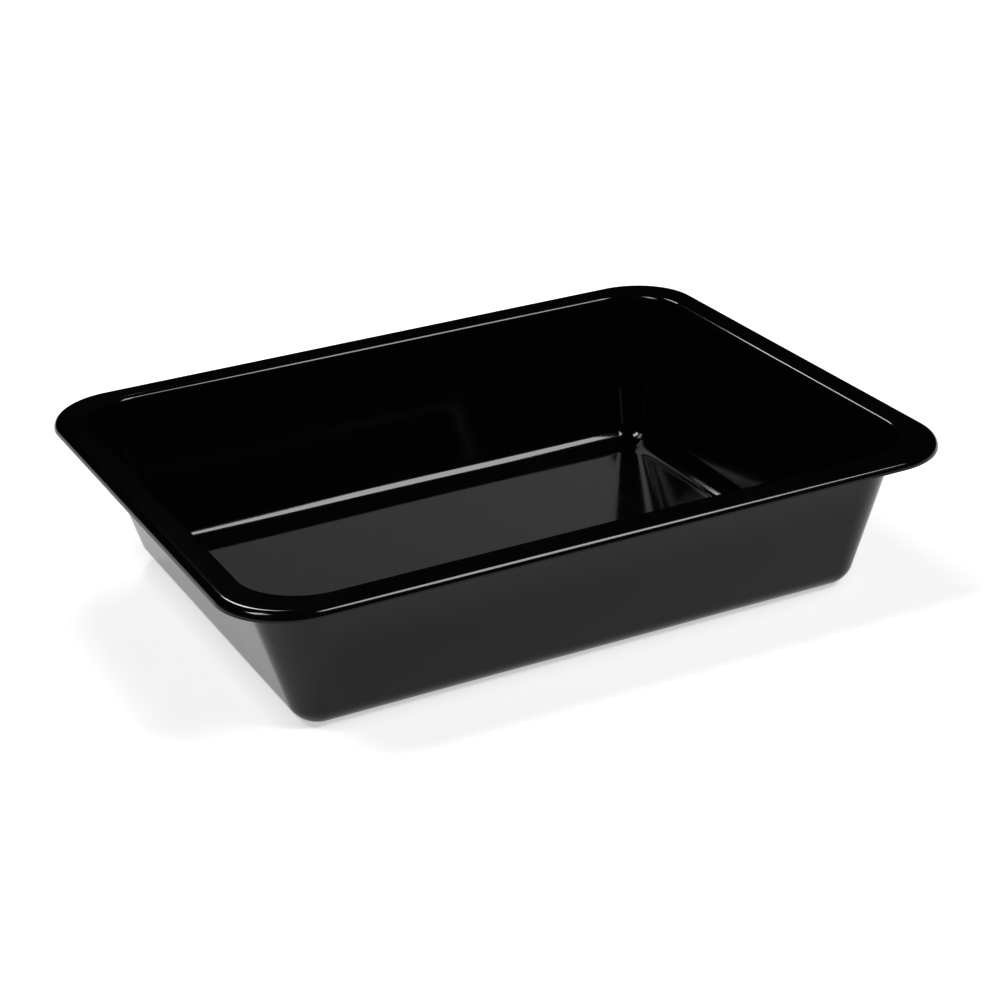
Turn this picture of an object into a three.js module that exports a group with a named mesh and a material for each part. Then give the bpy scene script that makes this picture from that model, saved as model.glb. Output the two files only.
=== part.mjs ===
// An empty plastic meal tray: one thin sheet drawn down into a rectangular bowl with sloping walls,
// a flat flange round the mouth and a short turned-down lip along the flange's outer edge.
// Millimetres, +Z up. The origin is on the underside of the base, below the middle of the tray;
// X runs along the long sides and Y along the short ones.
import * as THREE from 'three';

// ---- Driving dimensions ----
const RIM_LENGTH = 227;           // over the lip, along X
const RIM_WIDTH = 181;            // over the lip, along Y
const HEIGHT = 48.8;              // underside of the base to the top of the flange
const SHEET = 0.5;                // thickness of the plastic, the same all over
const RIM_CORNER_RADIUS = 22.5;   // of the flange's outer corners, seen from above
const FLANGE_WIDTH = 9;           // rim's outer edge to the wall's outer face, under the flange
const BASE_INSET = 23.1;          // rim's outer edge to the foot of the wall's outer face
const MOUTH_CORNER_RADIUS = 20.3; // of the wall's outer corners under the flange, seen from above
const BASE_CORNER_RADIUS = 7.5;   // of the wall's outer corners at its foot, seen from above
const FLOOR_RADIUS = 8;           // bend between the floor and the wall, on the inside
const SHOULDER_RADIUS = 1.9;      // bend between the flange and the wall, on the top
const LIP_RADIUS = 2.6;           // bend between the flange and the lip, on the outside
const LIP_DROP = 2.8;             // top of the flange to the lip's lower edge

// ---- How finely the bends are cut into flats ----
const CORNER_STEPS = 14;         // along each corner, seen from above
const FLOOR_STEPS = 8;
const SHOULDER_STEPS = 5;
const LIP_STEPS = 5;

// ---- The sheet's section ----
// A section point is (inset, z): its distance inwards from the rim's outer edge, and its height.

// The corners of the sheet's underside, from under the middle of the base out to the lip's lower edge.
const undersideCorners = [
  new THREE.Vector2(RIM_WIDTH / 2, 0),
  new THREE.Vector2(BASE_INSET, 0),
  new THREE.Vector2(FLANGE_WIDTH, HEIGHT - SHEET),
  new THREE.Vector2(SHEET, HEIGHT - SHEET),
  new THREE.Vector2(SHEET, HEIGHT - LIP_DROP),
];

// The same chain of lines moved sideways by a distance, to the upper side of the sheet.
function offsetChain(corners, distance) {
  const directions = corners.slice(1).map((corner, i) => corner.clone().sub(corners[i]).normalize());
  const normals = directions.map((d) => new THREE.Vector2(d.y, -d.x));
  return corners.map((corner, i) => {
    const before = normals[Math.max(i - 1, 0)];
    const after = normals[Math.min(i, normals.length - 1)];
    const mitre = before.clone().add(after).divideScalar(1 + before.dot(after));
    return corner.clone().addScaledVector(mitre, distance);
  });
}

// A chain of lines with an arc of the given radius at each of its inner corners.
function bendChain(corners, radii, steps) {
  const points = [corners[0]];
  for (let i = 1; i < corners.length - 1; i += 1) {
    const toBefore = corners[i - 1].clone().sub(corners[i]).normalize();
    const toAfter = corners[i + 1].clone().sub(corners[i]).normalize();
    const halfAngle = Math.acos(toBefore.dot(toAfter)) / 2;
    const radius = radii[i - 1];
    const centre = toBefore.clone().add(toAfter).normalize()
      .multiplyScalar(radius / Math.sin(halfAngle)).add(corners[i]);
    const tangentLength = radius / Math.tan(halfAngle);
    const start = toBefore.multiplyScalar(tangentLength).add(corners[i]).sub(centre);
    const end = toAfter.multiplyScalar(tangentLength).add(corners[i]).sub(centre);
    const clockwise = start.cross(end) < 0;
    const arc = new THREE.EllipseCurve(
      centre.x, centre.y, radius, radius, start.angle(), end.angle(), clockwise);
    points.push(...arc.getPoints(steps[i - 1]));
  }
  points.push(corners[corners.length - 1]);
  return points;
}

const bendSteps = [FLOOR_STEPS, SHOULDER_STEPS, LIP_STEPS];
const undersideRadii = [FLOOR_RADIUS + SHEET, SHOULDER_RADIUS - SHEET, LIP_RADIUS - SHEET];
const topRadii = [FLOOR_RADIUS, SHOULDER_RADIUS, LIP_RADIUS];
const topCorners = offsetChain(undersideCorners, SHEET);
const underside = bendChain(undersideCorners, undersideRadii, bendSteps);
const top = bendChain(topCorners, topRadii, bendSteps);

// ---- The section carried round the tray ----

// Inset of the centres that a section point's rounded corners turn about. It grows across the flange,
// which is wider at its corners than along its sides, and then down the wall.
function cornerCentreInset(point) {
  const flatWidth = FLANGE_WIDTH - SHOULDER_RADIUS - LIP_RADIUS;
  const acrossFlange = THREE.MathUtils.clamp((point.x - LIP_RADIUS) / flatWidth, 0, 1);
  const onWall = THREE.MathUtils.lerp(
    BASE_INSET + BASE_CORNER_RADIUS, FLANGE_WIDTH + MOUTH_CORNER_RADIUS, point.y / HEIGHT);
  return THREE.MathUtils.lerp(RIM_CORNER_RADIUS, onWall, acrossFlange);
}

// The closed outline, seen from above, that a section point follows round the tray.
function ringAt(point) {
  const centreInset = cornerCentreInset(point);
  const centreX = RIM_LENGTH / 2 - centreInset;
  const centreY = RIM_WIDTH / 2 - centreInset;
  const radius = centreInset - point.x;
  const ring = [];
  for (let corner = 0; corner < 4; corner += 1) {
    const signX = corner === 0 || corner === 3 ? 1 : -1;
    const signY = corner < 2 ? 1 : -1;
    const startAngle = corner * Math.PI / 2;
    const arc = new THREE.EllipseCurve(
      signX * centreX, signY * centreY, radius, radius, startAngle, startAngle + Math.PI / 2, false);
    ring.push(...arc.getPoints(CORNER_STEPS).map((p) => new THREE.Vector3(p.x, p.y, point.y)));
  }
  return ring;
}

// One closed surface: the underside's rings outwards, then the top's rings back to the middle.
function sweepSection(sectionPoints, firstCentre, lastCentre) {
  const rings = sectionPoints.map(ringAt);
  const around = rings[0].length;
  const vertices = [firstCentre, ...rings.flat(), lastCentre];
  const lastIndex = vertices.length - 1;
  const vertexAt = (ring, place) => 1 + ring * around + (place % around);
  const triangles = [];
  for (let place = 0; place < around; place += 1) {
    triangles.push(0, vertexAt(0, place + 1), vertexAt(0, place));
    for (let ring = 0; ring < rings.length - 1; ring += 1) {
      const a = vertexAt(ring, place);
      const b = vertexAt(ring, place + 1);
      const c = vertexAt(ring + 1, place + 1);
      const d = vertexAt(ring + 1, place);
      triangles.push(a, b, c, a, c, d);
    }
    const last = rings.length - 1;
    triangles.push(lastIndex, vertexAt(last, place), vertexAt(last, place + 1));
  }
  const geometry = new THREE.BufferGeometry().setFromPoints(vertices);
  geometry.setIndex(triangles);
  geometry.computeVertexNormals();
  return geometry;
}

// The section's ends in the middle of the base become single points instead of rings.
const sectionPoints = [...underside.slice(1), ...top.slice(1).reverse()];
const baseMiddle = new THREE.Vector3(0, 0, 0);
const floorMiddle = new THREE.Vector3(0, 0, SHEET);

const blackGloss = new THREE.MeshStandardMaterial({ color: 0x060607, roughness: 0.1, metalness: 0 });
const tray = new THREE.Mesh(sweepSection(sectionPoints, baseMiddle, floorMiddle), blackGloss);
tray.name = 'tray';

const mealTray = new THREE.Group();
mealTray.add(tray);

export default mealTray;
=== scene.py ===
# The plastic meal tray, dressed: a fine mesh of its formed sheet, its gloss, a pale floor, studio light
# and the camera. Everything is in metres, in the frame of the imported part: +Z up, X along the tray.
import math

import bpy
from mathutils import Matrix, Vector, noise


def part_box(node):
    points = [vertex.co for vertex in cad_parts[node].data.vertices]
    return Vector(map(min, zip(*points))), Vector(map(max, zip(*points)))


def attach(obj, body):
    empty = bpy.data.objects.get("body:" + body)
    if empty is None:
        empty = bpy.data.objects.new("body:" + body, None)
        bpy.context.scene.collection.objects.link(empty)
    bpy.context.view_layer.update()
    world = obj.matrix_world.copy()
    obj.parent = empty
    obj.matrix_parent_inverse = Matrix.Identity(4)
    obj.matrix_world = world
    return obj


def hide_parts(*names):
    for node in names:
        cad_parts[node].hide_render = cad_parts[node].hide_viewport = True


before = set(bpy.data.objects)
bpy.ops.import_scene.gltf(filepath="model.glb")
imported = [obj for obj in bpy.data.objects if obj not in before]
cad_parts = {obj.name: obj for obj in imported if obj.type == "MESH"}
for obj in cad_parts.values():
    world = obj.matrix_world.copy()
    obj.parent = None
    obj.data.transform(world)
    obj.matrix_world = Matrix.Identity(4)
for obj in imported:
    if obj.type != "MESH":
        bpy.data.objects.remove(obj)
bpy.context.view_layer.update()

MM = 0.001

# ---- The tray's sizes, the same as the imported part's ----
low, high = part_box("tray")
RIM_LENGTH = high.x - low.x
RIM_WIDTH = high.y - low.y
HEIGHT = high.z - low.z
SHEET = 0.5 * MM                 # thickness of the plastic
RIM_CORNER_RADIUS = 22.5 * MM    # of the flange's outer corners, seen from above
FLANGE_WIDTH = 9 * MM            # rim's outer edge to the wall's outer face, under the flange
BASE_INSET = 23.1 * MM           # rim's outer edge to the foot of the wall's outer face
MOUTH_CORNER_RADIUS = 20.3 * MM  # of the wall's outer corners under the flange, seen from above
BASE_CORNER_RADIUS = 7.5 * MM    # of the wall's outer corners at its foot, seen from above
FLOOR_RADIUS = 8 * MM            # bend between the floor and the wall, on the inside
SHOULDER_RADIUS = 1.9 * MM       # bend between the flange and the wall, on the top
LIP_RADIUS = 2.6 * MM            # bend between the flange and the lip, on the outside
LIP_DROP = 2.8 * MM              # top of the flange to the lip's lower edge
EDGE_RADIUS = 0.15 * MM          # rounding of the sheet's cut edge

# ---- How finely the mesh is cut ----
CORNER_STEPS = 30                # along each corner, seen from above
LONG_SIDE_STEPS = 30             # along each straight side, seen from above
SHORT_SIDE_STEPS = 20
FLOOR_BEND_STEPS = 16
SHOULDER_STEPS = 10
LIP_STEPS = 10
EDGE_STEPS = 4
FLOOR_RINGS = 20
OVAL_SHARE = 0.38                # size of the floor's innermost ovals against the rim
WALL_STEP = 3.5 * MM             # longest step along the straight parts of the section
GUARD_STEP = 0.25 * MM           # a short step beside each bend, which keeps the flats flat

# ---- How far the formed sheet is from true ----
FLOOR_WARP = 0.16 * MM
WALL_WARP = 0.10 * MM
RIM_WARP = 0.10 * MM
WARP_SCALE = 42 * MM             # distance over which the sheet swells and dips
RIM_WARP_SCALE = 60 * MM
RIM_WARP_LEVEL = 300 * MM        # where in the noise the rim's warp is read
WARP_BLEND = 9 * MM              # depth below the rim over which the wall's warp fades

# ---- The camera ----
CAMERA_AZIMUTH = math.radians(-25.66)
CAMERA_ELEVATION = math.radians(24.12)
CAMERA_ROLL = math.radians(-2.465)
CAMERA_DISTANCE = 0.7719
CAMERA_RIGHT = 2.97 * MM         # how far the camera stands right of and above the tray's origin
CAMERA_UP = 21.43 * MM
IMAGE_PIXELS = 1000
FOCAL_PIXELS = 2475.8
SENSOR_WIDTH = 36.0              # millimetres, as Blender gives a sensor
TONE_GAMMA = 0.8                 # deepens the dark tones, as in the photo

# ---- The plastic's look ----
PLASTIC_IOR = 1.5
SPECULAR_LEVEL = 0.41            # a little under the 0.5 of a plain plastic, to match the photo
DARKER_TINT = (0.0025, 0.0025, 0.003, 1)
LIGHTER_TINT = (0.006, 0.006, 0.007, 1)
HAZE_SCALE = 70                  # patches of haze to the metre
HAZE_DETAIL = 3
CLEAREST_ROUGHNESS = 0.05
HAZIEST_ROUGHNESS = 0.13
RIPPLE_SCALE = 900               # ripples to the metre
RIPPLE_DETAIL = 2
RIPPLE_STRENGTH = 0.05
RIPPLE_HEIGHT = 0.02 * MM

# ---- The floor it stands on ----
FLOOR_SIZE = 12.0
FLOOR_DROP = 0.02 * MM           # how far it lies below the tray's base, so that the two stay apart
FLOOR_COLOUR = (0.9, 0.9, 0.9, 1)
FLOOR_ROUGHNESS = 0.9
FLOOR_GLOW_COLOUR = (1, 1, 1, 1)
FLOOR_GLOW = 0.6                 # keeps the floor near white, also in the tray's shadow

# ---- The lights ----
WORLD_COLOUR = (0.0, 0.0, 0.0, 1)
FAR_LIGHT = 3.0                  # metres from the tray's origin to a panel of light
NEAR_LIGHT = 0.752
# Each panel's azimuth, elevation, distance, width and height, and radiance. The angles are in degrees.
SOFT_BOXES = {
    "key_soft_box": (37, 50, FAR_LIGHT, (17.2, 21.1), 12.7),
    "left_soft_box": (-98, 58.5, FAR_LIGHT, (14, 20), 14),
    "rear_soft_box": (177.9, 44.6, NEAR_LIGHT, (11.4, 13.2), 11.9),
}


# ---- The sheet's section ----
# A section point is (inset, z): its distance inwards from the rim's outer edge, and its height.

def offset_chain(corners, distance):
    """The same chain of lines moved sideways by a distance, to the other side of the sheet."""
    directions = [(b - a).normalized() for a, b in zip(corners, corners[1:])]
    normals = [Vector((d.y, -d.x)) for d in directions]
    moved = []
    for i, corner in enumerate(corners):
        before = normals[max(i - 1, 0)]
        after = normals[min(i, len(normals) - 1)]
        moved.append(corner + (before + after) / (1 + before.dot(after)) * distance)
    return moved


def arc_points(centre, radius, start_angle, end_angle, steps):
    """Points along the shorter arc from one angle to the other."""
    turn = (end_angle - start_angle + math.pi) % math.tau - math.pi
    angles = [start_angle + turn * i / steps for i in range(steps + 1)]
    return [centre + Vector((math.cos(a), math.sin(a))) * radius for a in angles]


def bend_chain(corners, radii, steps):
    """A chain of lines with an arc of the given radius at each of its inner corners."""
    points = [corners[0]]
    for i, (radius, count) in enumerate(zip(radii, steps), start=1):
        to_before = (corners[i - 1] - corners[i]).normalized()
        to_after = (corners[i + 1] - corners[i]).normalized()
        half_angle = to_before.angle(to_after) / 2
        centre = corners[i] + (to_before + to_after).normalized() * (radius / math.sin(half_angle))
        start = corners[i] + to_before * (radius / math.tan(half_angle)) - centre
        end = corners[i] + to_after * (radius / math.tan(half_angle)) - centre
        start_angle = math.atan2(start.y, start.x)
        end_angle = math.atan2(end.y, end.x)
        points += arc_points(centre, radius, start_angle, end_angle, count)
    return points + [corners[-1]]


def refine(points):
    """Cuts the long straight parts, with a short step beside each bend."""
    finer = [points[0]]
    for a, b in zip(points, points[1:]):
        length = (b - a).length
        if length > 3 * GUARD_STEP:
            inner = length - 2 * GUARD_STEP
            count = max(1, math.ceil(inner / WALL_STEP))
            along = (b - a) / length
            finer += [a + along * (GUARD_STEP + inner * i / count) for i in range(count + 1)]
        finer.append(b)
    return finer


# The corners of the sheet's underside, from the flat base out to the lip's lower edge.
base_start = BASE_INSET + FLOOR_RADIUS
underside_corners = [
    Vector((base_start, 0)),
    Vector((BASE_INSET, 0)),
    Vector((FLANGE_WIDTH, HEIGHT - SHEET)),
    Vector((SHEET, HEIGHT - SHEET)),
    Vector((SHEET, HEIGHT - LIP_DROP)),
]
top_corners = offset_chain(underside_corners, SHEET)
bend_steps = (FLOOR_BEND_STEPS, SHOULDER_STEPS, LIP_STEPS)
underside_radii = (FLOOR_RADIUS + SHEET, SHOULDER_RADIUS - SHEET, LIP_RADIUS - SHEET)
top_radii = (FLOOR_RADIUS, SHOULDER_RADIUS, LIP_RADIUS)


def section_points():
    """The whole section, from the flat base out to the lip and back over the top to the floor."""
    corners = underside_corners + [top_corners[-1]] + top_corners[-2::-1]
    radii = underside_radii + (EDGE_RADIUS, EDGE_RADIUS) + top_radii[::-1]
    steps = bend_steps + (EDGE_STEPS, EDGE_STEPS) + bend_steps[::-1]
    return refine(bend_chain(corners, radii, steps))


# ---- The section carried round the tray ----

def lerp(a, b, share):
    return a + (b - a) * share


def share_between(value, start, end):
    """How far the value is on its way from start to end, from 0 to 1."""
    return min(max((value - start) / (end - start), 0), 1)


def corner_centre_inset(point):
    """Inset of the centres that a section point's rounded corners turn about.

    It grows across the flange, which is wider at its corners than along its sides, and down the wall.
    """
    across_flange = share_between(point.x, LIP_RADIUS, FLANGE_WIDTH - SHOULDER_RADIUS)
    at_foot = BASE_INSET + BASE_CORNER_RADIUS
    at_mouth = FLANGE_WIDTH + MOUTH_CORNER_RADIUS
    on_wall = lerp(at_foot, at_mouth, point.y / HEIGHT)
    return lerp(RIM_CORNER_RADIUS, on_wall, across_flange)


def ring_at(point):
    """The closed outline, seen from above, that a section point follows round the tray.

    Each entry is a place, the outward normal there, and an even turn round the middle.
    """
    centre_inset = corner_centre_inset(point)
    centre_x = RIM_LENGTH / 2 - centre_inset
    centre_y = RIM_WIDTH / 2 - centre_inset
    radius = centre_inset - point.x
    ring = []
    for corner in range(4):
        sign_x = 1 if corner in (0, 3) else -1
        sign_y = 1 if corner < 2 else -1
        centre = Vector((sign_x * centre_x, sign_y * centre_y))
        quarter = corner * math.pi / 2
        for i in range(CORNER_STEPS + 1):
            share = i / CORNER_STEPS
            angle = quarter + share * math.pi / 2
            normal = Vector((math.cos(angle), math.sin(angle)))
            ring.append((centre + normal * radius, normal, quarter + (share + 0.5) * math.pi / 4))
        start, normal, turn = ring[-1]
        if corner % 2 == 0:
            steps = LONG_SIDE_STEPS
            along = Vector((-2 * sign_x * centre_x, 0))
        else:
            steps = SHORT_SIDE_STEPS
            along = Vector((0, -2 * sign_y * centre_y))
        for i in range(1, steps):
            ring.append((start + along * i / steps, normal, turn + math.pi / 4 * i / steps))
    return ring


def inner_rings(outer_ring):
    """Rings from the middle of the floor outwards, which open from small ovals into the outer ring."""
    rings = []
    for step in range(1, FLOOR_RINGS):
        share = step / FLOOR_RINGS
        ring = []
        for place, normal, turn in outer_ring:
            oval = Vector((RIM_LENGTH * math.cos(turn), RIM_WIDTH * math.sin(turn))) * OVAL_SHARE
            ring.append((oval.lerp(place, share) * share, normal, turn))
        rings.append(ring)
    return rings


def warp_at(place, outward, z):
    """How far the sheet is from true there. Both faces of the sheet move alike."""
    x, y = place
    swell = noise.noise(Vector((x, y, z)) / WARP_SCALE)
    rim_swell = noise.noise(Vector((x, y, RIM_WARP_LEVEL)) / RIM_WARP_SCALE)
    rim_share = share_between(z, HEIGHT - WARP_BLEND, HEIGHT - LIP_DROP)
    floor_share = share_between(z, FLOOR_RADIUS, SHEET)
    wall_share = (1 - rim_share) * (1 - floor_share)
    lift = FLOOR_WARP * (1 + swell) / 2 * floor_share - RIM_WARP * (1 + rim_swell) / 2 * rim_share
    push = outward * (WALL_WARP * swell * wall_share)
    return Vector((push.x, push.y, lift))


def tray_mesh():
    section = section_points()
    levels = [(ring_at(point), point.y) for point in section]
    levels = ([(ring, 0) for ring in inner_rings(levels[0][0])] + levels
              + [(ring, SHEET) for ring in reversed(inner_rings(levels[-1][0]))])
    around = len(levels[0][0])
    vertices = [Vector((0, 0, 0)) + warp_at((0, 0), Vector((0, 0)), 0)]
    for ring, z in levels:
        vertices += [Vector((*place, z)) + warp_at(place, normal, z) for place, normal, turn in ring]
    vertices.append(Vector((0, 0, SHEET)) + warp_at((0, 0), Vector((0, 0)), SHEET))
    last = len(vertices) - 1
    faces = []
    for i in range(around):
        j = (i + 1) % around
        faces.append((0, 1 + j, 1 + i))
        for level in range(len(levels) - 1):
            inner = 1 + level * around
            outer = inner + around
            faces.append((inner + i, inner + j, outer + j, outer + i))
        faces.append((last, last - around + i, last - around + j))
    mesh = bpy.data.meshes.new("tray_sheet")
    mesh.from_pydata(vertices, [], faces)
    mesh.shade_smooth()
    return mesh


# ---- Materials ----

def new_material(name):
    material = bpy.data.materials.new(name)
    material.use_nodes = True
    nodes = material.node_tree.nodes
    links = material.node_tree.links
    return material, nodes, links, nodes["Principled BSDF"]


def noise_node(nodes, links, coordinates, scale, detail):
    texture = nodes.new("ShaderNodeTexNoise")
    texture.inputs["Scale"].default_value = scale
    texture.inputs["Detail"].default_value = detail
    links.new(coordinates.outputs["Object"], texture.inputs["Vector"])
    return texture


def ramp_between(nodes, links, texture, low_value, high_value):
    """A number from the texture, between two values."""
    spread = nodes.new("ShaderNodeMapRange")
    spread.inputs["To Min"].default_value = low_value
    spread.inputs["To Max"].default_value = high_value
    links.new(texture.outputs["Fac"], spread.inputs["Value"])
    return spread


def black_gloss_material():
    """Black food-grade plastic: a deep gloss with faint haze and the fine ripple of formed sheet."""
    material, nodes, links, shader = new_material("black_gloss_plastic")
    shader.inputs["IOR"].default_value = PLASTIC_IOR
    shader.inputs["Specular IOR Level"].default_value = SPECULAR_LEVEL
    coordinates = nodes.new("ShaderNodeTexCoord")
    haze = noise_node(nodes, links, coordinates, HAZE_SCALE, HAZE_DETAIL)
    roughness = ramp_between(nodes, links, haze, CLEAREST_ROUGHNESS, HAZIEST_ROUGHNESS)
    links.new(roughness.outputs["Result"], shader.inputs["Roughness"])
    tint = nodes.new("ShaderNodeMix")
    tint.data_type = "RGBA"
    tint.inputs["A"].default_value = DARKER_TINT
    tint.inputs["B"].default_value = LIGHTER_TINT
    links.new(haze.outputs["Fac"], tint.inputs["Factor"])
    links.new(tint.outputs["Result"], shader.inputs["Base Color"])
    ripple = noise_node(nodes, links, coordinates, RIPPLE_SCALE, RIPPLE_DETAIL)
    bump = nodes.new("ShaderNodeBump")
    bump.inputs["Strength"].default_value = RIPPLE_STRENGTH
    bump.inputs["Distance"].default_value = RIPPLE_HEIGHT
    links.new(ripple.outputs["Fac"], bump.inputs["Height"])
    links.new(bump.outputs["Normal"], shader.inputs["Normal"])
    return material


def floor_material():
    material, nodes, links, shader = new_material("pale_floor")
    shader.inputs["Base Color"].default_value = FLOOR_COLOUR
    shader.inputs["Roughness"].default_value = FLOOR_ROUGHNESS
    shader.inputs["Specular IOR Level"].default_value = 0.0
    shader.inputs["Emission Color"].default_value = FLOOR_GLOW_COLOUR
    shader.inputs["Emission Strength"].default_value = FLOOR_GLOW
    return material


# ---- Pieces ----

def make_tray():
    tray = bpy.data.objects.new("tray_formed_sheet", tray_mesh())
    bpy.context.scene.collection.objects.link(tray)
    tray.data.materials.append(black_gloss_material())
    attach(tray, "root")
    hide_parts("tray")


def make_floor():
    half = FLOOR_SIZE / 2
    corners = [(-half, -half, 0), (half, -half, 0), (half, half, 0), (-half, half, 0)]
    mesh = bpy.data.meshes.new("floor")
    mesh.from_pydata(corners, [], [(0, 1, 2, 3)])
    floor = bpy.data.objects.new("floor", mesh)
    floor.location.z = -FLOOR_DROP
    bpy.context.scene.collection.objects.link(floor)
    mesh.materials.append(floor_material())


def direction_to(azimuth, elevation):
    """Unit vector from the tray towards a place: azimuth 0 is the near side, and 90 is +X."""
    flat = math.cos(elevation)
    return Vector((math.sin(azimuth) * flat, -math.cos(azimuth) * flat, math.sin(elevation)))


def soft_box(name, azimuth, elevation, distance, angles, radiance):
    """A flat panel of light that faces the tray. Its width and height are as seen from the tray."""
    light = bpy.data.lights.new(name, "AREA")
    light.shape = "RECTANGLE"
    light.size, light.size_y = [2 * distance * math.tan(math.radians(angle) / 2) for angle in angles]
    light.energy = radiance * math.pi * light.size * light.size_y
    box = bpy.data.objects.new(name, light)
    towards = direction_to(math.radians(azimuth), math.radians(elevation))
    box.location = towards * distance
    box.rotation_mode = "QUATERNION"
    box.rotation_quaternion = towards.to_track_quat("Z", "Y")
    bpy.context.scene.collection.objects.link(box)


def make_lights():
    for name, placing in SOFT_BOXES.items():
        soft_box(name, *placing)
    world = bpy.data.worlds.new("studio")
    world.use_nodes = True
    world.node_tree.nodes["Background"].inputs["Color"].default_value = WORLD_COLOUR
    bpy.context.scene.world = world
    bpy.context.scene.view_settings.view_transform = "Standard"
    bpy.context.scene.view_settings.gamma = TONE_GAMMA


def make_camera():
    camera = bpy.data.cameras.new("camera")
    camera.sensor_width = SENSOR_WIDTH
    camera.lens = FOCAL_PIXELS * SENSOR_WIDTH / IMAGE_PIXELS
    back = direction_to(CAMERA_AZIMUTH, CAMERA_ELEVATION)
    level_right = Vector((0, 0, 1)).cross(back).normalized()
    level_up = back.cross(level_right)
    right = level_right * math.cos(CAMERA_ROLL) + level_up * math.sin(CAMERA_ROLL)
    up = back.cross(right)
    place = back * CAMERA_DISTANCE + right * CAMERA_RIGHT + up * CAMERA_UP
    facing = Matrix((right, up, back)).transposed().to_4x4()
    camera_object = bpy.data.objects.new("camera", camera)
    camera_object.matrix_world = Matrix.Translation(place) @ facing
    bpy.context.scene.collection.objects.link(camera_object)
    bpy.context.scene.camera = camera_object


make_camera()
make_lights()
make_floor()
make_tray()
